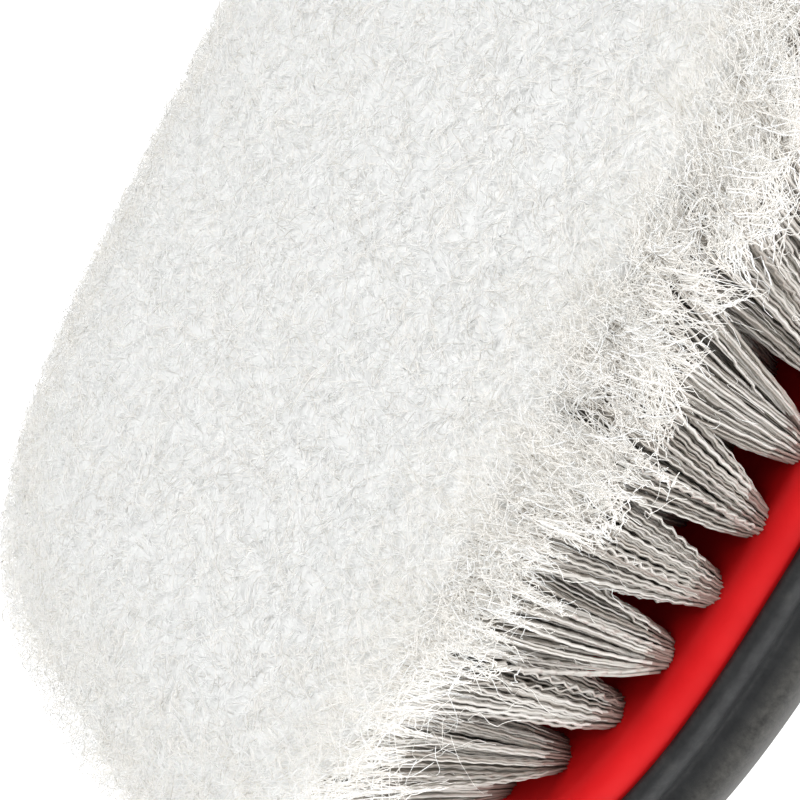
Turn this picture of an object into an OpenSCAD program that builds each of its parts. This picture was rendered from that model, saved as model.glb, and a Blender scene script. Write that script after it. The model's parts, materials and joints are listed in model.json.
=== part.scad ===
// Wheel brush with a short handle: an oval drilled block full of soft tufts,
// a rubber bumper round its edge and a rubber grip.
// It lies on its back: +Z is the way the bristles point, +X runs to the handle.

/* [Head] */
// Length of the drilled block
block_l = 94; // [80:1:110]
// Width of the drilled block
block_w = 58; // [56:1:64]
// Height of the block's tufted face above the surface the brush lies on
face_z = 14; // [13:0.5:18]
// How square the block's outline is: 2 is an ellipse
block_square = 3.1; // [2.8:0.1:5]
// Radius of the block's edge round its tufted face
block_edge_r = 1; // [1:0.25:1.5]

/* [Bumper] */
// Height of the rubber bumper's edge
bumper_h = 11; // [8:0.2:11.4]
// Thickness of the rubber over the back
back_skin = 1.6; // [1:0.1:2]
// How far the bumper's thick band stands out from the block
bumper_out = 3; // [2:0.25:5]
// Depth of the groove below the bumper's thin bead
groove_depth = 2.4; // [0.6:0.2:2.4]

/* [Tufts] */
// Radius of a tuft's hole
hole_r = 2.2; // [1.8:0.1:2.6]
// Depth of a tuft's hole
hole_depth = 8.5; // [6:0.5:9]
// Distance between holes along a row
pitch = 6.8; // [6.6:0.1:8]
// Length of bristle standing out of the block
bristle_l = 33; // [20:1:40]
// Radius of a tuft at its tips, for bristles 32 long
tip_r = 3.4; // [2.8:0.1:3.5]
// How much each tuft leans outwards along the head, degrees for each millimetre
fan_x = 0.32; // [0.3:0.02:0.6]
// How much each tuft leans outwards across the head, degrees for each millimetre
fan_y = 0.5; // [0.1:0.02:0.5]

/* [Handle] */
// Distance from the head's middle to the handle's end
handle_end = 192; // [176:1:220]
// Widest part of the grip
grip_w = 31; // [28:1:36]
// Thickness of the grip
grip_t = 22; // [18:1:24]
// Radius of the hole to hang the brush by
hang_r = 3.5; // [3:0.25:4]

/* [Hidden] */
$fn = 48;

// Rings of holes from the outside in; the two halves of a ring are two rows.
// rim is how far the outer ring's middle line lies in from the block's side,
// and ring_step is how far apart the rings are.
ring_count = 4;
rim = 3.4;
ring_a = block_l / 2 - rim - 2.6;
ring_b = block_w / 2 - rim;
ring_step = (ring_b - pitch / 2) / (ring_count - 1);
ring_square = [2.6, 2.7, 3, 14];
// How much each ring is shortened at both ends, to keep clear of the ring outside it
ring_short = [0, 0, 0, 4];

// Frame plate under the block, and the bar that the grip is moulded on
plate_top = face_z - hole_depth - 1.5;
neck_x = block_l / 2 + 16;
grip_start = neck_x + 4;
grip_end = handle_end - 24;
bar_w = 17;
bar_t = 12;
bar_z = grip_t / 2 + 0.4;
hang_x = handle_end - 10;

// Anchor: a flat bit of wire across the bottom of each hole
anchor_l = 4.1;
anchor_h = 2.2;
anchor_t = 0.4;

// ---- Outlines ----

// A point of a superellipse with half-axes a and b
function oval_point(a, b, n, t) = [
    a * sign(cos(t)) * pow(abs(cos(t)), 2 / n),
    b * sign(sin(t)) * pow(abs(sin(t)), 2 / n)
];

module oval(a, b, n) {
    polygon([for (i = [0 : 95]) oval_point(a, b, n, i * 3.75)]);
}

// The block's outline, moved outwards by grow
module head_outline(grow = 0) {
    oval(block_l / 2 + grow, block_w / 2 + grow, block_square);
}

module head_slab(z0, z1, grow = 0) {
    translate([0, 0, z0]) linear_extrude(z1 - z0) head_outline(grow);
}

// ---- Sweeps along the handle ----

// Smooth value between the rows of a table of [x, width, thickness, height of middle]
function ease(t) = t * t * (3 - 2 * t);
function section_at(table, x, i = 0) =
    x <= table[i + 1][0] || i + 2 >= len(table)
        ? let (t = ease(min(1, (x - table[i][0]) / (table[i + 1][0] - table[i][0]))))
          [x, for (c = [1 : 3]) table[i][c] * (1 - t) + table[i + 1][c] * t]
        : section_at(table, x, i + 1);

sweep_sides = 32;

// A solid with an elliptical section at each of a list of [x, width, thickness, height]
module sweep(sections) {
    last = len(sections) - 1;
    points = [
        for (s = sections, i = [0 : sweep_sides - 1])
            let (a = i * 360 / sweep_sides)
            [s[0], s[1] / 2 * cos(a), s[3] + s[2] / 2 * sin(a)]
    ];
    sides = [
        for (r = [0 : last - 1], i = [0 : sweep_sides - 1])
            let (j = (i + 1) % sweep_sides, a = r * sweep_sides, b = a + sweep_sides)
            each [[a + i, b + i, b + j], [a + i, b + j, a + j]]
    ];
    first_cap = [for (i = [0 : sweep_sides - 1]) i];
    last_cap = [for (i = [sweep_sides - 1 : -1 : 0]) last * sweep_sides + i];
    polyhedron(points, concat(sides, [first_cap, last_cap]));
}

module swept_table(table, step) {
    x0 = table[0][0];
    x1 = table[len(table) - 1][0];
    count = ceil((x1 - x0) / step);
    sweep([for (i = [0 : count]) section_at(table, x0 + (x1 - x0) * i / count)]);
}

// ---- Where the tufts go ----

// Half a ring from the heel round to the toe, as [distance along it, x, y]
ring_steps = 120;
function half_ring(a, b, n) = [
    for (
        i = 0, p = oval_point(a, b, n, 0), s = 0;
        i <= ring_steps;
        i = i + 1,
        q = oval_point(a, b, n, i * 180 / ring_steps),
        s = s + norm(q - p),
        p = q
    ) [s, p.x, p.y]
];

// Holes in row 1 to 8: rows 1 to 4 are on the -Y side from the outside in
function ring_of(row) = row <= ring_count ? row - 1 : 2 * ring_count - row;
function row_holes(row) =
    let (
        k = ring_of(row),
        side = row <= ring_count ? -1 : 1,
        curve = half_ring(ring_a - k * ring_step - ring_short[k], ring_b - k * ring_step, ring_square[k]),
        xs = [for (c = curve) [c[0], c[1]]],
        ys = [for (c = curve) [c[0], c[2]]],
        whole = curve[ring_steps][0],
        count = round(whole / pitch)
    )
    [for (i = [0 : count - 1])
        let (s = (i + 0.5) * whole / count)
        [lookup(s, xs), side * lookup(s, ys)]
    ];

// Puts its children at a hole's mouth, turned to the tuft's direction
module at_hole(p) {
    lean = [fan_x * p.x, fan_y * p.y];
    translate([p.x, p.y, face_z])
        rotate(a = norm(lean), v = [-lean.y, lean.x, 0])
            children();
}

module hole_core() {
    translate([0, 0, -hole_depth]) cylinder(r = hole_r, h = hole_depth + 0.6);
}

module anchor() {
    translate([-anchor_l / 2, -anchor_t / 2, -hole_depth + 0.2])
        cube([anchor_l, anchor_t, anchor_h]);
}

// ---- Head ----

module block_body() {
    // the rounded edge, in steps
    steps = 4;
    for (i = [0 : steps]) {
        inset = block_edge_r * (1 - cos(90 * i / steps));
        lift = block_edge_r * sin(min(90, 90 * (i + 0.5) / steps));
        head_slab(plate_top, face_z - block_edge_r + lift, -inset);
    }
}

module bristle_block() {
    color([0.75, 0.03, 0.05])
        difference() {
            block_body();
            for (row = [1 : 2 * ring_count], p = row_holes(row)) at_hole(p) hole_core();
        }
}

// Rubber round the edge: a thick band, a groove, then a thin bead against the block
module bumper_solid() {
    band_h = 0.62 * bumper_h;
    groove_h = 0.18 * bumper_h;
    // the back's rounded edge, in steps
    head_slab(0, 0.7, bumper_out - 5.2);
    head_slab(0.7, 2.2, bumper_out - 2.4);
    head_slab(2.2, 3.8, bumper_out - 1);
    head_slab(3.8, band_h, bumper_out);
    head_slab(band_h, band_h + groove_h, bumper_out - groove_depth);
    head_slab(band_h + groove_h, bumper_h, bumper_out - 1.6);
}

module head_bumper() {
    color([0.06, 0.06, 0.065])
        difference() {
            bumper_solid();
            head_slab(back_skin, face_z);
            neck();
        }
}

// ---- Handle ----

module neck() {
    swept_table([
        [block_l / 2 - 7, 36, 7, 5.2],
        [neck_x - 4, 22, 12.6, 8.6],
        [grip_start, 23, 16, bar_z]
    ], 2);
}

module grip_bar() {
    translate([grip_start - 6, 0, bar_z])
        rotate([0, 90, 0])
            linear_extrude(grip_end - grip_start + 12)
                oval(bar_t / 2, bar_w / 2, 2.6);
}

module end_boss() {
    round_l = 14;
    straight = [grip_end, 27, 17, bar_z];
    sweep([
        straight,
        for (a = [0 : 10 : 80])
            [handle_end - round_l + round_l * sin(a), 28 * cos(a), 6 + 9 * cos(a), bar_z]
    ]);
}

module handle_frame() {
    color([0.75, 0.03, 0.05])
        difference() {
            union() {
                head_slab(back_skin, plate_top);
                difference() {
                    neck();
                    head_slab(plate_top, face_z);
                    thumb_pad_solid();
                }
                grip_bar();
                end_boss();
            }
            translate([hang_x, 0, -1]) cylinder(r = hang_r, h = grip_t + 4);
        }
}

module grip_sleeve() {
    grip_middle = (grip_start + grip_end) / 2;
    color([0.06, 0.06, 0.065])
        difference() {
            swept_table([
                [grip_start, 27, 19, bar_z],
                [grip_start + 12, 25.5, 18.4, bar_z],
                [grip_middle, grip_w, grip_t, bar_z],
                [grip_end - 12, 26.5, 18.6, bar_z],
                [grip_end, 30, 20, bar_z]
            ], 4);
            grip_bar();
        }
}

// Rubber pad for the thumb, let into the neck's back
module thumb_pad_solid() {
    translate([neck_x - 6, 0, -1]) linear_extrude(5.2) oval(11, 7.5, 2.2);
}

module thumb_pad() {
    color([0.06, 0.06, 0.065])
        intersection() {
            thumb_pad_solid();
            neck();
        }
}

// ---- Tufts and their anchors ----

module tuft() {
    slope = (tip_r - hole_r) / 32;
    reach = 1.3 * bristle_l;
    difference() {
        union() {
            translate([0, 0, -hole_depth]) cylinder(r = hole_r, h = hole_depth);
            cylinder(r1 = hole_r, r2 = hole_r + slope * reach, h = reach);
        }
        anchor();
    }
}

module tuft_row(row) {
    color([0.72, 0.70, 0.66])
        intersection() {
            for (p = row_holes(row)) at_hole(p) tuft();
            translate([-block_l, -block_w, 0]) cube([2 * block_l, 2 * block_w, face_z + bristle_l]);
        }
}

module anchor_row(row) {
    color([0.7, 0.7, 0.72])
        for (p = row_holes(row)) at_hole(p) anchor();
}

bristle_block();
handle_frame();
head_bumper();
grip_sleeve();
thumb_pad();
for (row = [1 : 2 * ring_count]) {
    tuft_row(row);
    anchor_row(row);
}
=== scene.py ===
"""Wheel brush: crimped filaments with split white tips, a red block, a rubber bumper and a grip."""

import json
from types import SimpleNamespace

import bpy
import numpy as np
from mathutils import Matrix, Vector, noise


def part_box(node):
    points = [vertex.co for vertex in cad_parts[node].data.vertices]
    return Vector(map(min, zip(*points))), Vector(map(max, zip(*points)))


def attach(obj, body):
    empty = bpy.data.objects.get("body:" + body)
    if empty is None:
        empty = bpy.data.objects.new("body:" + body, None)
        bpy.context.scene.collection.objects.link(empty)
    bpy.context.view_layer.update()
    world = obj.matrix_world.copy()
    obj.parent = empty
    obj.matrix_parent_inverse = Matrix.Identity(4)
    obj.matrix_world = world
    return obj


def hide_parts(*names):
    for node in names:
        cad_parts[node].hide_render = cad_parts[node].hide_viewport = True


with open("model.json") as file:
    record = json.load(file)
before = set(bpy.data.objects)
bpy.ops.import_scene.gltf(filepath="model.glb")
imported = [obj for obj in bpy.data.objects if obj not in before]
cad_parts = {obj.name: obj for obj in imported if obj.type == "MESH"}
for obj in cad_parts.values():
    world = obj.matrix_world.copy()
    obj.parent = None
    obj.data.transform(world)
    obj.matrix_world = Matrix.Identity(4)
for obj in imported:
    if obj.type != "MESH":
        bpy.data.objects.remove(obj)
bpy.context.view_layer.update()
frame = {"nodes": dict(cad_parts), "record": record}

MM = 0.001
rng = np.random.default_rng(7)


# ---------------------------------------------------------------- sizes from the frame

block_hi = np.array(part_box("bristle_block")[1])
bumper_hi = np.array(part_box("head_bumper")[1])
frame_hi = np.array(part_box("handle_frame")[1])
sleeve_lo, sleeve_hi = (np.array(v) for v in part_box("grip_sleeve"))
pad_lo, pad_hi = (np.array(v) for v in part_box("thumb_pad"))
hang_hole = next(m for m in frame["record"]["mounts"] if m["name"] == "hang_hole")

FACE_Z = block_hi[2]
TIP_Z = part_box("tuft_row_1")[1][2]
BRISTLE = TIP_Z - FACE_Z
HALF_L = block_hi[0]
HALF_W = block_hi[1]
TUFT_ROWS = sorted(n for n in frame["nodes"] if n.startswith("tuft_row_"))
ANCHOR_ROWS = sorted(n for n in frame["nodes"] if n.startswith("anchor_row_"))
BLOCK_SQUARE = 3.1  # how square the block's outline is: 2 would be an ellipse


# ---------------------------------------------------------------- small helpers


def unit(v):
    """Each vector at length 1."""
    return v / np.maximum(np.linalg.norm(v, axis=-1, keepdims=True), 1e-12)


def new_mesh(name, verts, faces):
    """A smooth mesh object from vertices and faces of one size, or a list of such face arrays."""
    groups = [np.asarray(f) for f in (faces if isinstance(faces, list) else [faces])]
    mesh = bpy.data.meshes.new(name)
    sizes = np.concatenate([np.full(len(g), g.shape[1]) for g in groups])
    corners = np.concatenate([g.ravel() for g in groups])
    mesh.vertices.add(len(verts))
    mesh.loops.add(len(corners))
    mesh.polygons.add(len(sizes))
    mesh.vertices.foreach_set("co", np.asarray(verts, np.float32).ravel())
    mesh.loops.foreach_set("vertex_index", corners.astype(np.int32))
    starts = np.concatenate([[0], np.cumsum(sizes)[:-1]])
    mesh.polygons.foreach_set("loop_start", starts.astype(np.int32))
    mesh.polygons.foreach_set("use_smooth", np.ones(len(sizes), bool))
    mesh.update(calc_edges=True)
    piece = bpy.data.objects.new(name, mesh)
    bpy.context.scene.collection.objects.link(piece)
    return piece


def catmull(points, per_span):
    """A smooth curve through the rows of points."""
    p = np.asarray(points, float)
    p = np.vstack([2 * p[0] - p[1], p, 2 * p[-1] - p[-2]])
    out = []
    for i in range(1, len(p) - 2):
        for t in np.arange(per_span) / per_span:
            a, b, c, d = p[i - 1 : i + 3]
            curve = 2 * b + (c - a) * t
            curve = curve + (2 * a - 5 * b + 4 * c - d) * t**2
            curve = curve + (3 * b - a - 3 * c + d) * t**3
            out.append(0.5 * curve)
    out.append(p[-2])
    return np.array(out)


def loft(name, rings, cap_start=True, cap_end=True):
    """A tube of quads through rings of points, each (n, 3), closed round, with fans at the ends."""
    rings = np.asarray(rings)
    count, n = rings.shape[:2]
    i = np.arange(n)
    j = (i + 1) % n
    quads = [
        np.stack([r * n + i, r * n + j, (r + 1) * n + j, (r + 1) * n + i], 1) for r in range(count - 1)
    ]
    verts = rings.reshape(-1, 3)
    fans = []
    if cap_start:
        verts = np.vstack([verts, rings[0].mean(0)])
        fans.append(np.stack([j, i, np.full(n, len(verts) - 1)], 1))
    if cap_end:
        verts = np.vstack([verts, rings[-1].mean(0)])
        last = (count - 1) * n
        fans.append(np.stack([last + i, last + j, np.full(n, len(verts) - 1)], 1))
    return new_mesh(name, verts, [np.concatenate(quads)] + ([np.concatenate(fans)] if fans else []))


def finish_piece(piece, material, slot, *nodes):
    """Gives a piece its material and body, and hides the CAD nodes that it stands for. Its slot is not
    used.
    """
    piece.data.materials.append(material)
    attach(piece, "root")
    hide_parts(*nodes)
    return piece


# ---------------------------------------------------------------- materials


class Nodes:
    """A material's node tree, with the calls that this script repeats."""

    def __init__(self, name):
        self.material = bpy.data.materials.new(name)
        self.material.use_nodes = True
        self.tree = self.material.node_tree
        self.shader = self.tree.nodes["Principled BSDF"]
        self.place = self.tree.nodes.new("ShaderNodeTexCoord").outputs["Object"]

    def set(self, **values):
        """Sets inputs of the shader, with _ for each space in their names."""
        for key, value in values.items():
            self.shader.inputs[key.replace("_", " ")].default_value = value

    def noise(self, size_mm, detail=3.0, rough=0.5):
        """Noise with lumps of about size_mm, mostly from 0.3 to 0.7."""
        node = self.tree.nodes.new("ShaderNodeTexNoise")
        node.inputs["Scale"].default_value = 1 / (size_mm * MM)
        node.inputs["Detail"].default_value = detail
        node.inputs["Roughness"].default_value = rough
        self.tree.links.new(self.place, node.inputs["Vector"])
        return node.outputs["Fac"]

    def ramp(self, value, stops):
        """Colours between the stops, each a position and a colour."""
        node = self.tree.nodes.new("ShaderNodeValToRGB")
        ramp = node.color_ramp
        for k, (at, colour) in enumerate(stops):
            stop = ramp.elements[k] if k < 2 else ramp.elements.new(at)
            stop.position = at
            stop.color = (*colour, 1)
        self.tree.links.new(value, node.inputs["Fac"])
        return node.outputs["Color"]

    def spread(self, value, low, high):
        """Noise stretched to run from low to high."""
        node = self.tree.nodes.new("ShaderNodeMapRange")
        node.inputs["From Min"].default_value = 0.3
        node.inputs["From Max"].default_value = 0.7
        node.inputs["To Min"].default_value = low
        node.inputs["To Max"].default_value = high
        self.tree.links.new(value, node.inputs["Value"])
        return node.outputs["Result"]

    def below(self, high, low):
        """0 above the height high, 1 under the height low."""
        apart = self.tree.nodes.new("ShaderNodeSeparateXYZ")
        self.tree.links.new(self.place, apart.inputs["Vector"])
        node = self.tree.nodes.new("ShaderNodeMapRange")
        node.inputs["From Min"].default_value = high
        node.inputs["From Max"].default_value = low
        self.tree.links.new(apart.outputs["Z"], node.inputs["Value"])
        return node.outputs["Result"]

    def mix(self, share, first, second):
        """The first colour where share is 0, the second where it is 1."""
        node = self.tree.nodes.new("ShaderNodeMix")
        node.data_type = "RGBA"
        for output, socket in ((share, "Factor"), (first, "A"), (second, "B")):
            enabled = [i for i in node.inputs if i.name == socket and i.enabled]
            self.tree.links.new(output, enabled[0])
        return [o for o in node.outputs if o.enabled][0]

    def link(self, output, socket):
        self.tree.links.new(output, self.shader.inputs[socket])

    def bump(self, height, depth_mm):
        """Adds bumps on top of those already there."""
        node = self.tree.nodes.new("ShaderNodeBump")
        node.inputs["Distance"].default_value = depth_mm * MM
        self.tree.links.new(height, node.inputs["Height"])
        if self.shader.inputs["Normal"].is_linked:
            before = self.shader.inputs["Normal"].links[0].from_socket
            self.tree.links.new(before, node.inputs["Normal"])
        self.tree.links.new(node.outputs["Normal"], self.shader.inputs["Normal"])


def red_plastic():
    """Moulded plastic, faintly mottled."""
    m = Nodes("red_plastic")
    mottle = m.noise(6.0, 4)
    reds = [(0.3, (0.74, 0.014, 0.018)), (0.7, (0.84, 0.021, 0.025))]
    m.link(m.ramp(mottle, reds), "Base Color")
    m.link(m.spread(m.noise(1.2, 5), 0.46, 0.60), "Roughness")
    m.set(Specular_IOR_Level=0.2)
    m.bump(m.noise(0.35, 4, 0.6), 0.012)
    m.bump(m.noise(9.0, 2), 0.10)
    return m.material


def black_rubber(name, dusty_lit_band=False):
    """Moulded rubber. On the bumper the thick band under the groove is lighter grey, partly dust and
    partly painted light from the floor below.
    """
    m = Nodes(name)
    blacks = [
        (0.3, (0.022, 0.023, 0.0245)), (0.55, (0.036, 0.0375, 0.039)), (0.75, (0.062, 0.062, 0.060))
    ]
    colour = m.ramp(m.noise(2.4, 6, 0.65), blacks)
    if dusty_lit_band:
        # Lighter grey under the groove: partly dust, partly painted light from the floor below.
        dust_and_light_greys = [(0.3, (0.042, 0.042, 0.041)), (0.7, (0.125, 0.122, 0.114))]
        dusty_lit_colour = m.ramp(m.noise(0.9, 6, 0.7), dust_and_light_greys)
        colour = m.mix(m.below(bumper_hi[2] - 4.0 * MM, bumper_hi[2] - 4.8 * MM), colour, dusty_lit_colour)
    m.link(colour, "Base Color")
    m.link(m.spread(m.noise(0.9, 5, 0.6), 0.5, 0.72), "Roughness")
    m.set(Specular_IOR_Level=0.5)
    m.bump(m.noise(0.25, 4, 0.7), 0.03)
    m.bump(m.noise(1.6, 3), 0.05)
    return m.material


def filament(name, colour, rough, glow=0.0):
    """A fibre's plastic: glow stands for the light that thin white fibres pass on to each other."""
    m = Nodes(name)
    m.set(
        Base_Color=(*colour, 1), Roughness=rough, Specular_IOR_Level=0.85,
        Emission_Color=(*colour, 1), Emission_Strength=glow,
    )
    return m.material


def white_felt():
    """The tangled ends between the fibres that are built one by one."""
    m = Nodes("tip_felt")
    whites = [(0.3, (0.83, 0.835, 0.83)), (0.7, (0.90, 0.905, 0.90))]
    m.link(m.ramp(m.noise(3.0, 4), whites), "Base Color")
    m.link(m.spread(m.noise(0.5, 3), 0.8, 0.95), "Roughness")
    # The faint glow is painted light, for the light that the white fibres pass on to each other.
    m.set(Specular_IOR_Level=0.1, Emission_Color=(0.93, 0.935, 0.93, 1), Emission_Strength=0.08)
    m.bump(m.noise(0.18, 5, 0.7), 0.10)
    return m.material


def anchor_steel():
    """Drawn wire."""
    m = Nodes("anchor_wire")
    m.set(Metallic=1.0)
    steels = [(0.3, (0.5, 0.5, 0.51)), (0.7, (0.66, 0.66, 0.68))]
    m.link(m.ramp(m.noise(0.6, 3), steels), "Base Color")
    m.link(m.spread(m.noise(0.3, 3), 0.25, 0.4), "Roughness")
    return m.material


RED = red_plastic()
RUBBER = black_rubber("black_rubber")
BUMPER_RUBBER = black_rubber("dusty_lit_rubber", dusty_lit_band=True)
STEEL = anchor_steel()
FELT = white_felt()
# The last grey is painted shade at the roots, darker and browner where the flared tufts shade them and
# the red block throws back red light; material_slots gives it to a filament's first steps.
GREYS = [
    filament("filament_light", (0.74, 0.71, 0.665), 0.24),
    filament("filament_mid", (0.60, 0.565, 0.52), 0.26),
    filament("filament_dark", (0.45, 0.41, 0.365), 0.30),
    filament("filament_root_painted_shade", (0.33, 0.25, 0.22), 0.45),
]
# Shares of the fibres that are cool, warm and shaded are given piece by piece.
WHITES = [
    filament("tip_cool", (0.93, 0.935, 0.93), 0.62, 0.13),
    filament("tip_warm", (0.94, 0.92, 0.885), 0.56, 0.14),
    filament("tip_shade", (0.80, 0.79, 0.76), 0.62, 0.08),
]


# ---------------------------------------------------------------- head


OUTLINE_POINTS = 160
INSET = 6  # mm inside the outline, past which rings shrink towards the middle
SHRINK = 20  # mm further in at which they would reach it
EDGE_OUT, EDGE_DOWN = 2.4, 4.5  # mm, how far the block's rounded edge reaches across and down


def outline(out):
    """Points round the block's outline, moved outwards by out."""
    t = np.linspace(0, 2 * np.pi, OUTLINE_POINTS, endpoint=False)
    c, s = np.cos(t), np.sin(t)
    x = HALF_L * np.sign(c) * np.abs(c) ** (2 / BLOCK_SQUARE)
    y = HALF_W * np.sign(s) * np.abs(s) ** (2 / BLOCK_SQUARE)
    along = np.stack([np.roll(x, -1) - np.roll(x, 1), np.roll(y, -1) - np.roll(y, 1)], 1)
    normal = unit(np.stack([along[:, 1], -along[:, 0]], 1))
    return np.stack([x, y], 1) + normal * out


def around(profile):
    """Rings round the head from a profile of [distance outwards, height], in millimetres."""
    rings = []
    for out, z in profile:
        flat = outline(max(out, -INSET) * MM)
        if out < -INSET:
            flat = flat * (1 + (out + INSET) / SHRINK)
        rings.append(np.column_stack([flat, np.full(len(flat), max(z, 0) * MM)]))
    return rings


def make_block():
    """The red block, with its rounded edge. Its holes are left out, because the tufts cover them."""
    top = FACE_Z / MM
    turns = np.radians(np.arange(0, 91, 7.5))
    edge = [(EDGE_OUT * (np.cos(a) - 1), top + EDGE_DOWN * (np.sin(a) - 1)) for a in turns]
    side = [(-9, 4), (-1, 4), (0, 4.6), (0, 7)]
    face = [(-4, top), (-8, top), (-14, top), (-20, top)]
    piece = loft("bristle_block_shell", around(side + edge + face))
    return finish_piece(piece, RED, "red_plastic", "bristle_block")


def make_bumper():
    """From under the back, out over the thick band, in to the groove, and over the bead at the red."""
    edge = bumper_hi[2] / MM
    shape = catmull(
        [
            (-10, 0), (-5, 0), (-2.0, 0.2), (0.0, 1.0), (1.5, 2.4), (2.3, 3.7), (2.65, 4.8),
            (2.55, edge - 5.3), (1.9, edge - 4.6), (1.2, edge - 4.1), (0.75, edge - 3.6),
            (0.65, edge - 3.2), (0.8, edge - 2.7), (1.1, edge - 2.1), (1.25, edge - 1.4),
            (1.15, edge - 0.7), (0.85, edge - 0.25), (0.45, edge - 0.03), (0.1, edge - 0.08),
            (-0.3, edge - 0.4),
        ],
        5,
    )
    piece = loft("head_bumper_rubber", around(shape), cap_end=False)
    return finish_piece(piece, BUMPER_RUBBER, "black_rubber", "head_bumper")


# ---------------------------------------------------------------- handle


def section_ring(x, width, thick, z, count=72, square=2.0):
    """Points round a section of the handle at x. A square of 2 is an ellipse."""
    t = np.linspace(0, 2 * np.pi, count, endpoint=False)
    c, s = np.cos(t), np.sin(t)
    y = width / 2 * np.sign(c) * np.abs(c) ** (2 / square)
    up = thick / 2 * np.sign(s) * np.abs(s) ** (2 / square)
    return np.column_stack([np.full(count, x), y, z + up])


BAR_Z = (sleeve_lo[2] + sleeve_hi[2]) / 2
NECK = [
    # distance past the block's end, width, thickness, height of middle
    (-7, 36, 6.6, 5.0),
    (0, 30, 8.0, 5.4),
    (6, 24.5, 10.4, 6.9),
    (12, 22, 12.8, 8.8),
    (20, 23, 16, BAR_Z / MM),
]


GROOVE_PITCH, GROOVE_DEPTH = 5.2, 0.55  # mm
END_WIDTH, END_THICK = 27.6, 15.6  # mm
END_LIP, END_SWELL = 6, 9.6  # mm, the thickness at the tip, and how much it grows by
END_ROUND = 14  # mm, the radius of the end seen from above


def make_frame():
    """The neck, from under the block to the grip."""
    rings = [
        section_ring(HALF_L + d * MM, w * MM, t * MM, z * MM) for d, w, t, z in catmull(NECK, 8)
    ]
    piece = loft("handle_neck", rings)
    return finish_piece(piece, RED, "red_plastic", "handle_frame")


def circle(x, radius, z, count=64):
    """Points round an upright circle at x."""
    t = np.linspace(0, 2 * np.pi, count, endpoint=False)
    return np.column_stack([x + radius * np.cos(t), radius * np.sin(t), np.full(count, z)])


def make_end():
    """The rounded end past the grip, with the hanging hole cut through it and its edges softened."""
    turn = frame_hi[0] - END_ROUND * MM
    rings = [
        section_ring(x, END_WIDTH * MM, END_THICK * MM, BAR_Z)
        for x in np.linspace(sleeve_hi[0] - 4 * MM, turn, 12)
    ]
    for a in np.radians(np.arange(5, 90, 5)):
        thick = (END_LIP + END_SWELL * np.cos(a)) * MM
        rings.append(
            section_ring(turn + END_ROUND * MM * np.sin(a), END_WIDTH * MM * np.cos(a), thick, BAR_Z)
        )
    piece = loft("handle_end", rings)
    radius = hang_hole["dims"]["r_mm"] * MM
    cutter = loft("hole_cutter", [circle(hang_hole["pos_m"][0], radius, z) for z in (-0.01, 0.04)])
    cut = piece.modifiers.new("cut", "BOOLEAN")
    cut.object = cutter
    cut.operation = "DIFFERENCE"
    remesh = piece.modifiers.new("remesh", "REMESH")
    remesh.mode = "VOXEL"
    remesh.voxel_size = 0.35 * MM
    soften = piece.modifiers.new("soften", "SMOOTH")
    soften.factor = 0.5
    soften.iterations = 8
    apply_modifiers(piece)
    bpy.data.objects.remove(cutter)
    return finish_piece(piece, RED, "red_plastic", "handle_frame")


def apply_modifiers(piece):
    """Turns a piece's modifiers into its own mesh, shaded smooth."""
    graph = bpy.context.evaluated_depsgraph_get()
    mesh = bpy.data.meshes.new_from_object(piece.evaluated_get(graph))
    piece.modifiers.clear()
    piece.data = mesh
    for polygon in mesh.polygons:
        polygon.use_smooth = True


def make_sleeve():
    """The grip: swollen at both ends, with shallow grooves across its middle."""
    start, end = sleeve_lo[0] / MM, sleeve_hi[0] / MM
    middle = (start + end) / 2
    half_w = sleeve_hi[1] / MM
    half_t = (sleeve_hi[2] - sleeve_lo[2]) / 2 / MM
    shape = catmull(
        [
            # distance along the handle, width, thickness
            (start, 25.5, 17.6), (start + 1.2, 27.2, 19.2),
            (start + 5, 26.6, 18.9), (start + 13, 25.4, 18.4),
            (middle - 12, half_w * 2 - 1.2, half_t * 2 - 0.8),
            (middle + 6, half_w * 2 - 0.6, half_t * 2 - 0.3),
            (end - 24, 28.2, 19.8), (end - 11, 26.4, 18.4),
            (end - 4, 29.2, 19.6), (end - 1.2, 29.8, 19.8), (end, 28, 18),
        ],
        26,
    )
    rings = []
    for x, w, t in shape:
        inside = np.clip(min(x - start - 14, end - 16 - x) / 4, 0, 1)
        ripple = np.clip(1.6 * np.cos(2 * np.pi * x / GROOVE_PITCH) - 0.6, 0, 1)
        groove = inside * GROOVE_DEPTH * ripple
        rings.append(
            section_ring(x * MM, (w - 2 * groove) * MM, (t - 2 * groove) * MM, BAR_Z, 96, 2.15)
        )
    piece = loft("grip_sleeve_rubber", rings)
    return finish_piece(piece, RUBBER, "black_rubber", "grip_sleeve")


def make_thumb_pad():
    """A ribbed oval on the neck's back, standing a little proud of it."""
    centre_x = (pad_lo[0] + pad_hi[0]) / 2
    half = (pad_hi - pad_lo) / 2
    neck = catmull(NECK, 24)
    rings = []
    for k in np.linspace(0, 1, 26)[1:]:
        t = np.linspace(0, 2 * np.pi, 96, endpoint=False)
        x = centre_x + k * half[0] * np.cos(t)
        y = k * half[1] * np.sin(t)
        at = x / MM - HALF_L / MM
        w, thick, z = (np.interp(at, neck[:, 0], neck[:, c]) * MM for c in (1, 2, 3))
        under = z - thick / 2 * np.sqrt(np.clip(1 - (2 * y / w) ** 2, 0, 1))
        proud = 0.5 * MM * np.sqrt(max(0.0, 1 - k**6)) - 0.3 * MM * k**6
        ribs = 0.25 * MM * np.clip(np.cos(2 * np.pi * x / (2.6 * MM)), 0, 1) * (1 - k**4)
        rings.append(np.column_stack([x, y, under - proud - ribs]))
    piece = loft("thumb_pad_rubber", rings[::-1], cap_start=False)
    return finish_piece(piece, RUBBER, "black_rubber", "thumb_pad")


# ---------------------------------------------------------------- tufts


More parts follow.
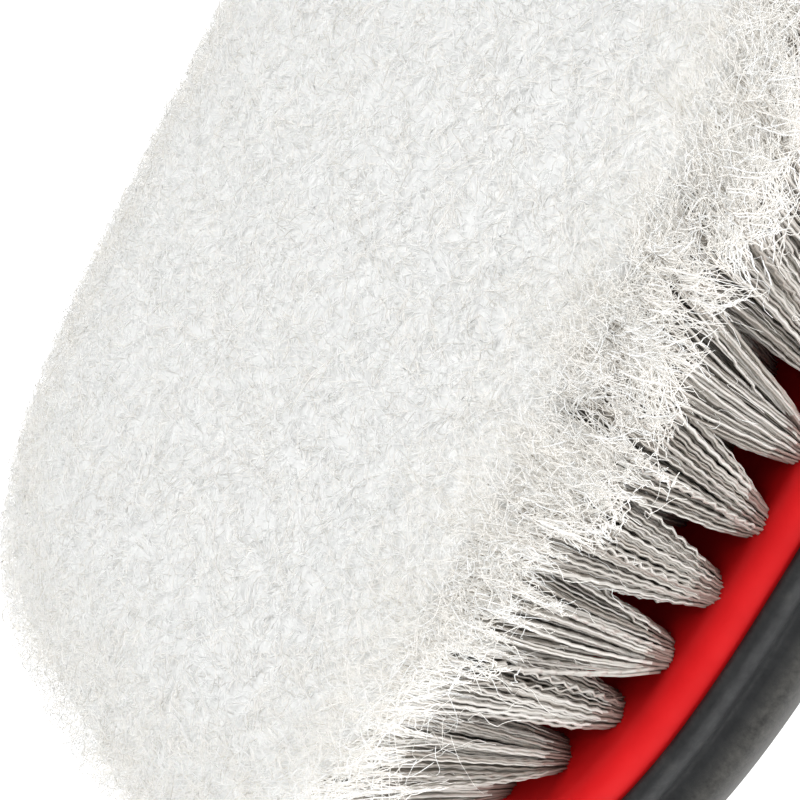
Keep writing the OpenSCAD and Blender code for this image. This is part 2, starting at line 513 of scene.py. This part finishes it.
FILAMENTS_OUTER, FILAMENTS_INNER = 165, 80  # in each tuft of the outermost rows, and of the others
FILAMENT_R = 0.174 * MM
CRIMP_LENGTH = 2.3 * MM
CRIMP_DEPTH = 0.088 * MM
LOCKS = 10  # the filaments of a tuft lie together in this many locks
WILD = 0.08  # the share of filaments that stray and zigzag more than the rest
FLARE = 2.6  # how many times wider a tuft is at its tips than at its root
ROOT_PINCH = 0.2  # how much narrower than its hole a tuft is where it comes out
SPLITS = 10  # fibres from each outer filament
FIBRE_R = 0.052 * MM
STRAYS = 22  # loose fibres on each outer tuft
CURLS = 150  # short curls on each outer tuft
SIDES = 3  # of each tube

FACE_SQUARE = 3.9  # how square the trimmed face's outline is
SWEPT = 3.2 * MM  # the tips have been brushed to one side by this much
LEAN = 6.5 * MM  # and the filaments lean towards the handle by this much, less near the head's ends
TIP_HALF = np.array([
    max(abs(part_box(n)[s][axis]) for n in TUFT_ROWS for s in (0, 1)) for axis in (0, 1)
])


def islands(mesh):
    """The vertices of each connected part of a mesh, joined where they meet."""
    co = np.empty(len(mesh.vertices) * 3, np.float32)
    mesh.vertices.foreach_get("co", co)
    co = co.reshape(-1, 3)
    _, same = np.unique(np.round(co / 1e-6).astype(np.int64), axis=0, return_inverse=True)
    same = same.ravel()
    edges = np.empty(len(mesh.edges) * 2, np.int32)
    mesh.edges.foreach_get("vertices", edges)
    edges = same[edges.reshape(-1, 2)]
    label = np.arange(same.max() + 1)
    while True:
        low = np.minimum(label[edges[:, 0]], label[edges[:, 1]])
        before = label.copy()
        np.minimum.at(label, edges[:, 0], low)
        np.minimum.at(label, edges[:, 1], low)
        if (label == before).all():
            break
    labels = label[same]
    return [co[labels == k].astype(float) for k in np.unique(labels)]


def find_tufts(node):
    """Where each tuft of a row stands and which way it points, from its CAD solid."""
    tufts = []
    for part in islands(frame["nodes"][node].data):
        if part[:, 2].max() < TIP_Z - 1 * MM:
            continue
        top = part[part[:, 2] > part[:, 2].max() - 0.02 * MM].mean(0)
        ring = part[part[:, 2] < FACE_Z - 4 * MM]
        bottom = ring.mean(0)
        axis = unit(top - bottom)
        root = bottom + axis * (FACE_Z - bottom[2]) / axis[2]
        flat = ring - bottom
        flat -= np.outer(flat @ axis, axis)
        radius = np.linalg.norm(flat, axis=1).max()
        tufts.append(SimpleNamespace(root=root, axis=axis, radius=radius))
    return sorted(tufts, key=lambda t: t.root[0])


def tube_mesh(name, paths, radii):
    """Closed thin tubes along paths (count, points, 3) with radii (count, points)."""
    sides = SIDES
    count, steps = paths.shape[:2]
    along = unit(np.gradient(paths, axis=1))
    turn = rng.uniform(0, 2 * np.pi, count)
    refer = np.stack([np.cos(turn), np.sin(turn), np.full(count, 0.15)], 1)[:, None, :]
    first = unit(np.cross(along, refer))
    second = np.cross(along, first)
    angle = 2 * np.pi * np.arange(sides) / sides
    ring = (
        first[:, :, None, :] * np.cos(angle)[None, None, :, None]
        + second[:, :, None, :] * np.sin(angle)[None, None, :, None]
    )
    verts = paths[:, :, None, :] + ring * radii[:, :, None, None]
    base = (np.arange(count) * steps * sides)[:, None, None]
    row = (np.arange(steps - 1) * sides)[None, :, None]
    i = np.arange(sides)[None, None, :]
    j = (i + 1) % sides
    quads = np.stack(
        [base + row + i, base + row + sides + i, base + row + sides + j, base + row + j], -1
    ).reshape(-1, 4)
    side = np.arange(sides)
    start_cap = base[:, 0] + side[None, :]
    end_cap = base[:, 0] + (steps - 1) * sides + side[None, ::-1]
    return new_mesh(name, verts.reshape(-1, 3), [quads, np.concatenate([start_cap, end_cap])])


def material_slots(piece, materials, pick, steps, root):
    """Gives each tube the material that pick says, and about root of its first steps the last one, the
    painted shade at the roots.
    """
    for material in materials:
        piece.data.materials.append(material)
    rows = np.repeat(pick[:, None], steps - 1, 1)
    # The first steps of each filament get the painted root shade.
    if root:
        ends = rng.uniform(0.6, 1.3, len(pick)) * root
        rows[np.arange(steps - 1)[None, :] < ends[:, None]] = len(materials) - 1
    index = np.concatenate([np.repeat(rows.ravel(), SIDES), pick, pick])
    piece.data.polygons.foreach_set("material_index", index.astype(np.int32))


def make_tubes(name, parts, materials, share, *nodes, root=0):
    """One piece from a list of paths and radii, its tubes shared out among the materials."""
    paths = np.concatenate([p for p, r in parts])
    radii = np.concatenate([np.broadcast_to(r, p.shape[:2]) for p, r in parts])
    piece = tube_mesh(name, paths, radii)
    pick = rng.choice(len(materials), len(paths), p=share)
    material_slots(piece, materials, pick, paths.shape[1], root)
    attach(piece, "root")
    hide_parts(*nodes)
    return piece


def across(axis):
    """Two directions at right angles to the axis and to each other."""
    e1 = unit(np.cross(axis, np.array([0.0, 1.0, 0.0])))
    return e1, np.cross(axis, e1)


def reach(x, y):
    """0 in the middle of the trimmed face, 1 at its edge."""
    along = (np.abs(x) / TIP_HALF[0]) ** FACE_SQUARE
    return along + (np.abs(y - SWEPT) / TIP_HALF[1]) ** FACE_SQUARE


def face_height(x, y):
    """How high the trimmed bristles stand at x, y: flat, a little rounded towards the edge."""
    return TIP_Z - 4.2 * MM * np.clip(reach(x, y), 0, 1.4) ** 2.4


def fan_out(tuft, count):
    """Where a tuft's filaments start, how they lean, and the locks that they lie in."""
    order = np.arange(count)
    radius = tuft.radius * 0.95 * np.sqrt((order + 0.5) / count)
    angle = order * np.pi * (3 - np.sqrt(5)) + rng.uniform(0, 2 * np.pi)
    spot = np.stack([radius * np.cos(angle), radius * np.sin(angle)], 1)
    spot = spot + rng.normal(0, 0.04, (count, 2)) * MM
    centres = tuft.radius * rng.normal(0, 0.6, (LOCKS, 2))
    lock = np.argmin(np.linalg.norm(spot[:, None] - centres[None], axis=2), axis=1)
    lean = rng.normal(0, 0.022, (LOCKS, 2))[lock] + rng.normal(0, 0.020, (count, 2))
    crimp = rng.uniform(0.85, 1.15, count)
    wild = rng.random(count) < WILD
    lean[wild] += rng.normal(0, 0.07, (wild.sum(), 2))
    crimp[wild] = rng.uniform(1.6, 2.8, wild.sum())
    phase = rng.normal(0, 0.35, LOCKS)[lock] + rng.normal(0, 0.13, count)
    split = rng.uniform(0.58, 0.84, LOCKS)[lock]
    return SimpleNamespace(
        spot=spot, lean=lean, phase=phase, crimp=crimp, split=split, toward=centres[lock] - spot
    )


def filament_path(tuft, fan, heights, crimp=1.0):
    """Points of each filament at heights (count, steps) along the tuft's axis.

    It spreads towards the tip, draws in to the middle of its lock, leans, and zigzags crimp times as
    much as usual. Near the root it is held narrow by the hole.
    """
    e1, e2 = across(tuft.axis)
    up = np.clip(heights / BRISTLE, 0, None)
    flare = 1 + (FLARE - 1) * up**1.05 - ROOT_PINCH * np.clip(1 - heights / (6 * MM), 0, 1)
    flat = fan.spot[:, None, :] * flare[..., None]
    flat = flat + fan.lean[:, None, :] * np.clip(heights, 0, None)[..., None]
    drawn_in = 0.4 * np.sin(np.pi * np.clip(up, 0, 1)) ** 2
    flat = flat + fan.toward[:, None, :] * drawn_in[..., None]
    towards_handle = LEAN * (1 - (tuft.root[0] / TIP_HALF[0]) ** 4)
    wave = 2 * np.pi * heights / CRIMP_LENGTH + tuft.phase + fan.phase[:, None]
    grown = 0.3 + 0.7 * np.clip(heights / (5 * MM), 0, 1)
    depth = crimp * CRIMP_DEPTH * fan.crimp[:, None] * grown
    flat = flat + (np.sin(wave) * depth)[..., None] * tuft.crimp_way[None, None, :]
    flat = flat + (np.cos(wave * 0.5) * depth * 0.3)[..., None] * tuft.crimp_way[None, None, ::-1]
    return (
        tuft.root[None, None, :]
        + tuft.axis[None, None, :] * heights[..., None]
        + tuft.push[None, None, :] * (up**1.5)[..., None]
        + np.array([towards_handle, 0.0, 0.0]) * up[..., None]
        + flat[..., :1] * e1
        + flat[..., 1:] * e2
    )


def grey_filaments(tuft, fan, outer):
    """The crimped part of each filament, up to where its tip has split to nothing."""
    count = len(fan.spot)
    steps = 46 if outer else 15
    if outer:
        top = np.clip(fan.split + rng.uniform(0.12, 0.25, count), 0, 0.9)
    else:
        top = rng.uniform(0.88, 0.94, count)
    start = -1.2 * MM
    t = np.linspace(0, 1, steps)
    heights = start + (top * BRISTLE / tuft.axis[2] - start)[:, None] * t[None, :]
    paths = filament_path(tuft, fan, heights)
    thinning = np.clip((1 - t) / 0.25, 0.25, 1)
    return paths, FILAMENT_R * thinning[None, :] * rng.uniform(0.85, 1.1, count)[:, None]


def split_tips(tuft, fan):
    """The fine fibres that each outer filament splits into, up to the trimmed face."""
    tips = filament_path(tuft, fan, np.full((len(fan.spot), 1), BRISTLE / tuft.axis[2]))[:, 0]
    shown = reach(tips[:, 0], tips[:, 1]) > 0.66
    many = SimpleNamespace(
        **{key: np.repeat(value[shown], SPLITS, 0) for key, value in vars(fan).items()}
    )
    count = len(many.spot)
    stop = BRISTLE / tuft.axis[2]
    start = np.clip(many.split + rng.normal(0.02, 0.08, count), 0.3, 0.9) * BRISTLE / tuft.axis[2]
    t = np.linspace(0, 1, 9) ** 0.85
    heights = start[:, None] + (stop - start)[:, None] * t[None, :]
    paths = filament_path(tuft, many, heights, 0.8)
    u = np.broadcast_to(t[None, :], heights.shape)
    apart = unit(rng.normal(0, 1, (count, 3)) * [1, 1, 0.2])
    spread = np.abs(rng.normal(0.9, 0.55, count)) * MM
    paths = paths + apart[:, None, :] * (spread[:, None] * u**1.7)[..., None]
    for wavelength, size in ((5.5, 0.36), (2.2, 0.2)):
        paths = paths + waves(heights - start[:, None], wavelength * MM, size * MM * u**0.7)
    ends = paths[:, -1]
    target = face_height(ends[:, 0], ends[:, 1]) + rng.normal(-0.1, 0.4, count) * MM
    rise = (target - paths[:, 0, 2]) / np.maximum(ends[:, 2] - paths[:, 0, 2], 1e-4)
    paths[..., 2] = paths[:, :1, 2] + (paths[..., 2] - paths[:, :1, 2]) * rise[:, None]
    radii = FIBRE_R * (1.15 - 0.65 * u**2) * rng.uniform(0.75, 1.2, count)[:, None]
    return paths, radii


def waves(along, wavelength, size):
    """A sideways wave for each fibre, from nothing where along is 0."""
    count = len(along)
    way = unit(rng.normal(0, 1, (count, 3)))
    phase = rng.uniform(0, 2 * np.pi, count)[:, None]
    shift = (np.sin(2 * np.pi * along / wavelength + phase) - np.sin(phase)) * size
    return way[:, None, :] * shift[..., None]


def stray_fibres(tuft, count):
    """Long thin fibres that leave a tuft's side and curl across its neighbours."""
    fan = fan_out(tuft, count)
    fan.spot *= (tuft.radius / np.maximum(np.linalg.norm(fan.spot, axis=1), 1e-6))[:, None]
    start = rng.uniform(0.3, 0.7, count) * BRISTLE
    length = rng.uniform(0.2, 0.45, count) * BRISTLE
    u = np.broadcast_to(np.linspace(0, 1, 14)[None, :], (count, 14))
    along = length[:, None] * u
    paths = filament_path(tuft, fan, start[:, None] + along, 0.5)
    e1, e2 = across(tuft.axis)
    outwards = unit(fan.spot[:, :1] * e1 + fan.spot[:, 1:] * e2)
    way = unit(outwards * 0.5 + rng.normal(0, 0.8, (count, 3)))
    paths = paths + way[:, None, :] * (rng.uniform(0.8, 4.0, count)[:, None] * MM * u**1.3)[..., None]
    for wavelength, size in ((8.0, 0.9), (3.2, 0.35)):
        paths = paths + waves(along, wavelength * MM, size * MM * np.clip(u * 2, 0, 1))
    paths[..., 2] = np.minimum(paths[..., 2], TIP_Z)
    radii = FIBRE_R * 0.75 * (1 - 0.5 * u) * rng.uniform(0.7, 1.1, count)[:, None]
    return paths, radii


def splay(tuft):
    """How far an outer tuft's tips bend outwards, so that the outermost reach the face's edge."""
    tip = (tuft.root + tuft.axis * BRISTLE / tuft.axis[2])[:2] - [0, SWEPT]
    way = unit(np.sign(tip) * np.abs(tip / TIP_HALF) ** (FACE_SQUARE - 1) / TIP_HALF)
    steps = np.linspace(-2, 5, 71) * MM
    out = tip + way * (steps + FLARE * tuft.radius * 0.9)[:, None]
    best = steps[np.abs(reach(out[:, 0], out[:, 1] + SWEPT) - 1).argmin()]
    return np.append(way * best, 0)


def curly_sides(tuft, count):
    """Short curls on the outer side of a tuft, thickest near the trimmed face."""
    pick = rng.integers(0, len(tuft.fan.spot), count)
    fan = SimpleNamespace(**{key: value[pick] for key, value in vars(tuft.fan).items()})
    start = (1 - 0.34 * rng.random(count) ** 2) * BRISTLE / tuft.axis[2] - 1.5 * MM
    ends = filament_path(tuft, fan, start[:, None] + np.array([[0.0, 1.0]]) * MM)
    shown = reach(ends[:, 0, 0], ends[:, 0, 1]) > 0.5
    starts, way = ends[shown, 0], unit(ends[shown, 1] - ends[shown, 0])
    way = unit(way + rng.normal(0, 0.55, way.shape))
    n = len(starts)
    length = rng.uniform(1.5, 4.5, n) * MM
    paths = curled(starts, way, length, 10, rng.normal(0, 0.4, n) / MM)
    paths = paths + waves(np.linspace(0, 1, 10)[None, :] * length[:, None], 2.4 * MM, 0.14 * MM)
    ceiling = face_height(paths[..., 0], paths[..., 1]) + 0.3 * MM
    paths[..., 2] = np.minimum(paths[..., 2], ceiling)
    thinning = 0.95 - 0.5 * np.linspace(0, 1, 10)
    return paths, FIBRE_R * thinning[None, :] * rng.uniform(0.6, 1.0, n)[:, None]


def batches(items, size):
    """The items in lists of up to size."""
    return [items[i : i + size] for i in range(0, len(items), size)]


def make_row(node):
    """A row's filaments. The two outermost rows, which show, also get split tips and loose fibres.

    Rows are cut into pieces of a few tufts each, to keep each piece's mesh small.
    """
    tufts = find_tufts(node)
    number = int(node.rsplit("_", 1)[1])
    outer = number in (1, len(TUFT_ROWS))
    for tuft in tufts:
        way = rng.uniform(0, 2 * np.pi)
        tuft.crimp_way = np.array([np.cos(way), np.sin(way)])
        tuft.phase = rng.uniform(0, 2 * np.pi)
        tuft.push = splay(tuft) if outer else np.zeros(3)
        tuft.fan = fan_out(tuft, FILAMENTS_OUTER if outer else FILAMENTS_INNER)
    for k, group in enumerate(batches(tufts, 4 if outer else 16)):
        parts = [grey_filaments(t, t.fan, outer) for t in group]
        name = f"filaments_row_{number}_{k + 1}"
        # root: how many first steps of each filament get the painted root shade.
        make_tubes(name, parts, GREYS, [0.4, 0.42, 0.18, 0.0], node, root=7 if outer else 2)
    if not outer:
        return
    for k, group in enumerate(batches(tufts, 3)):
        parts = [split_tips(t, t.fan) for t in group]
        make_tubes(f"tips_row_{number}_{k + 1}", parts, WHITES, [0.3, 0.58, 0.12], node)
    parts = [stray_fibres(t, STRAYS) for t in tufts]
    make_tubes(f"strays_row_{number}", parts, WHITES, [0.2, 0.8, 0.0], node)
    parts = [curly_sides(t, CURLS) for t in tufts]
    make_tubes(f"curls_row_{number}", parts, WHITES, [0.35, 0.6, 0.05], node)


# ---------------------------------------------------------------- trimmed face


def lumps(points, size, seed):
    """Smooth noise from -1 to 1 at each point, in lumps of about that size."""
    shift = Vector((seed, 0, 0))
    return np.array([noise.noise(Vector(p) / size + shift) for p in points])


def face_outline(count):
    """Points round the trimmed face, at its edge."""
    t = np.linspace(0, 2 * np.pi, count, endpoint=False)
    c, s = np.cos(t), np.sin(t)
    return np.stack([
        TIP_HALF[0] * np.sign(c) * np.abs(c) ** (2 / FACE_SQUARE),
        TIP_HALF[1] * np.sign(s) * np.abs(s) ** (2 / FACE_SQUARE) + SWEPT,
    ], 1)


def make_felt():
    """The tangle under the trimmed face: a lumpy sheet that turns down inside the outer tufts."""
    edge = face_outline(560)
    skirt = [  # share of the way out to the edge, and mm down
        (0.80, -9), (0.84, -7), (0.87, -5.2), (0.895, -3.8), (0.912, -2.6), (0.924, -1.6), (0.932, -0.8)
    ]
    levels = skirt + [(k, 0) for k in np.linspace(0.935, 0.005, 84)]
    rings = []
    for k, drop in levels:
        flat = (edge - [0, SWEPT]) * k + [0, SWEPT]
        z = face_height(flat[:, 0], flat[:, 1]) + (drop - 0.75 - 1.1 * k**8) * MM
        rings.append(np.column_stack([flat, z]))
    rings = np.array(rings)
    points = rings.reshape(-1, 3)
    height = 0.22 * lumps(points, 3.2 * MM, 3) + 0.20 * lumps(points, 1.5 * MM, 9)
    height = height + 0.10 * lumps(points, 0.7 * MM, 5)
    rings[..., 2] += height.reshape(rings.shape[:2]) * MM
    sideways = (0.4 * lumps(points, 2.0 * MM, 14)).reshape(rings.shape[:2]) * MM
    outwards = unit(np.column_stack([edge, np.zeros(len(edge))]))
    rings[: len(skirt)] += sideways[: len(skirt), :, None] * outwards
    piece = loft("tip_felt", rings, cap_start=False)
    return finish_piece(piece, FELT, "bristle", *TUFT_ROWS)


def curled(starts, way, length, steps, curl):
    """Paths that set off from starts along way and bend steadily, by curl radians a metre."""
    s = np.linspace(0, 1, steps)[None, :] * length[:, None]
    side = unit(np.cross(way, rng.normal(0, 1, way.shape)))
    turn = (s * curl[:, None])[..., None]
    heading = way[:, None] * np.cos(turn) + side[:, None] * np.sin(turn)
    hops = (heading[:, 1:] + heading[:, :-1]) / 2 * (length / (steps - 1))[:, None, None]
    first = np.zeros((len(way), 1, 3))
    return starts[:, None] + np.concatenate([first, np.cumsum(hops, axis=1)], axis=1)


def face_spots(count, inner=0.0, outer=1.03):
    """Random places on the trimmed face, with a reach from inner to outer."""
    spots = rng.uniform(-1, 1, (6 * count, 2)) * TIP_HALF * 1.02 + [0, SWEPT]
    far = reach(spots[:, 0], spots[:, 1])
    return spots[(far < outer) & (far >= inner)][:count]


def tilted(spots, low, high, outwards):
    """Directions with a sine of tilt from low to high, leaning outwards near the face's edge."""
    count = len(spots)
    up = rng.uniform(low, high, count)
    turn = rng.uniform(0, 2 * np.pi, count)
    flat = np.sqrt(1 - up**2)
    way = np.stack([flat * np.cos(turn), flat * np.sin(turn), up], 1)
    lean = unit(spots) * (outwards * np.clip(reach(spots[:, 0], spots[:, 1]), 0, 1) ** 3)[:, None]
    return unit(way + np.column_stack([lean, np.zeros(count)]))


def make_fluff(
    name, count, length, tilt, curl, radius, steps, lift, share, zone=(0.0, 1.03), outwards=0.7
):
    """Curly fibres whose tops lie at the trimmed face. Length, radius and lift are in millimetres."""
    spots = face_spots(count, *zone)
    count = len(spots)
    way = tilted(spots, tilt[0], tilt[1], outwards)
    starts = np.column_stack([spots, np.zeros(count)])
    length = rng.uniform(*length, count) * MM
    paths = curled(starts, way, length, steps, rng.normal(0, curl, count) / MM)
    top = paths[..., 2].argmax(1)
    crest = paths[np.arange(count), top]
    target = face_height(crest[:, 0], crest[:, 1]) + rng.normal(lift, 0.2, count) * MM
    paths[..., 2] += (target - crest[:, 2])[:, None]
    u = np.linspace(-1, 1, steps)[None, :]
    radii = radius * MM * (1 - 0.5 * u**2) * rng.uniform(0.75, 1.2, count)[:, None]
    return make_tubes(name, [(paths, radii)], WHITES, share, *TUFT_ROWS)


def make_wisps(name, count, length, toe=False):
    """Long loose fibres that stand out round the edge of the trimmed face, or at its toe end only."""
    edge = face_outline(2000)
    if toe:
        edge = edge[edge[:, 0] < -0.86 * TIP_HALF[0]]
    edge = edge[rng.integers(0, len(edge), count)]
    z = face_height(edge[:, 0], edge[:, 1]) - rng.uniform(0.2, 7, count) * MM
    outwards = unit(edge) * rng.uniform(0.3, 1, count)[:, None]
    way = np.column_stack([outwards, rng.uniform(-0.1, 0.9, count)])
    way = unit(way + rng.normal(0, 0.35, (count, 3)))
    length = rng.uniform(*length, count) * MM
    starts = np.column_stack([edge * 0.98, z])
    paths = curled(starts, way, length, 11, rng.normal(0, 0.22, count) / MM)
    paths = paths + waves(np.linspace(0, 1, 11)[None, :] * length[:, None], 2.6 * MM, 0.12 * MM)
    paths[..., 2] = np.minimum(paths[..., 2], TIP_Z + 1.2 * MM)
    thinning = 0.9 - 0.55 * np.linspace(0, 1, 11)
    radii = FIBRE_R * thinning[None, :] * rng.uniform(0.6, 1.0, count)[:, None]
    return make_tubes(name, [(paths, radii)], WHITES, [0.4, 0.6, 0.0], *TUFT_ROWS)


make_block()
make_bumper()
make_frame()
make_end()
make_sleeve()
make_thumb_pad()
for node in TUFT_ROWS:
    make_row(node)
make_felt()
for k in range(5):
    make_fluff(
        f"tip_fluff_{k + 1}", 5800, length=(1.2, 3.0), tilt=(0.2, 0.95), curl=0.6,
        radius=0.045, steps=5, lift=0.1, share=[0.6, 0.3, 0.1],
    )
for k in range(2):
    make_fluff(
        f"rim_fluff_{k + 1}", 4500, length=(1.3, 3.4), tilt=(0.1, 0.7), curl=0.28,
        radius=0.038, steps=8, lift=-0.1, share=[0.3, 0.65, 0.05], zone=(0.35, 0.9), outwards=2.0,
    )
make_fluff(
    "face_hairs", 300, length=(3.5, 8.0), tilt=(0.0, 0.25), curl=0.16,
    radius=0.055, steps=9, lift=0.35, share=[0.5, 0.5, 0.0],
)
make_wisps("edge_wisps", 420, (2.5, 6.5))
make_wisps("toe_wisps", 150, (4.0, 10.0), toe=True)
for node in ANCHOR_ROWS:
    anchors = frame["nodes"][node]
    anchors.data.materials.clear()
    anchors.data.materials.append(STEEL)


# ---------------------------------------------------------------- stage, light and camera


def make_floor():
    """A white sheet that the brush lies on."""
    size = 3.0
    floor = new_mesh(
        "floor",
        np.array([(-size, -size, 0), (size, -size, 0), (size, size, 0), (-size, size, 0)]),
        np.array([[0, 1, 2, 3]]),
    )
    m = Nodes("floor_paper")
    m.set(
        Base_Color=(0.93, 0.93, 0.93, 1), Roughness=0.9, Specular_IOR_Level=0.1,
        Emission_Color=(1, 1, 1, 1), Emission_Strength=1.0,
    )
    floor.data.materials.append(m.material)


def soft_light(name, place, aim, size, power):
    """A round light at place that faces aim."""
    data = bpy.data.lights.new(name, "AREA")
    data.shape = "DISK"
    data.size = size
    data.energy = power
    light = bpy.data.objects.new(name, data)
    bpy.context.scene.collection.objects.link(light)
    back = unit(np.array(place, float) - np.array(aim, float))
    right = unit(np.cross([0, 0, 1.0], back) + [1e-6, 0, 0])
    up = np.cross(back, right)
    light.matrix_world = Matrix.Translation(place) @ Matrix(np.column_stack([right, up, back])).to_4x4()


def make_world():
    """An even white light from all round."""
    world = bpy.data.worlds.new("studio")
    world.use_nodes = True
    world.node_tree.nodes["Background"].inputs["Color"].default_value = (1, 1, 1, 1)
    world.node_tree.nodes["Background"].inputs["Strength"].default_value = 0.22
    bpy.context.scene.world = world


def make_camera():
    """A close view of the head from its side, rolled so that the bristles point to the left."""
    azimuth, elevation, roll = np.radians([14.6, 35.5, -69.9])
    aim = np.array([-13.1, 7.9, 26.0]) * MM
    distance = 203 * MM
    back = np.array([
        np.sin(azimuth) * np.cos(elevation), -np.cos(azimuth) * np.cos(elevation), np.sin(elevation)
    ])
    level = unit(np.cross(-back, [0, 0, 1.0]))
    rise = np.cross(level, -back)
    right = np.cos(roll) * level + np.sin(roll) * rise
    up = -np.sin(roll) * level + np.cos(roll) * rise
    data = bpy.data.cameras.new("camera")
    data.lens = 100.6
    data.sensor_width = 36
    data.clip_start = 0.005
    camera = bpy.data.objects.new("camera", data)
    bpy.context.scene.collection.objects.link(camera)
    camera.matrix_world = Matrix.Translation(aim + back * distance) @ Matrix(
        np.column_stack([right, up, back])
    ).to_4x4()
    bpy.context.scene.camera = camera


make_floor()
make_world()
soft_light("key", (-0.30, 0.02, 0.74), (0, 0, 0.03), 0.4, 1.0)
soft_light("front", (0.15, -0.25, 0.72), (0, 0, 0.02), 0.22, 2.5)
make_camera()
bpy.context.scene.view_settings.view_transform = "Standard"
bpy.context.scene.view_settings.look = "Medium High Contrast"
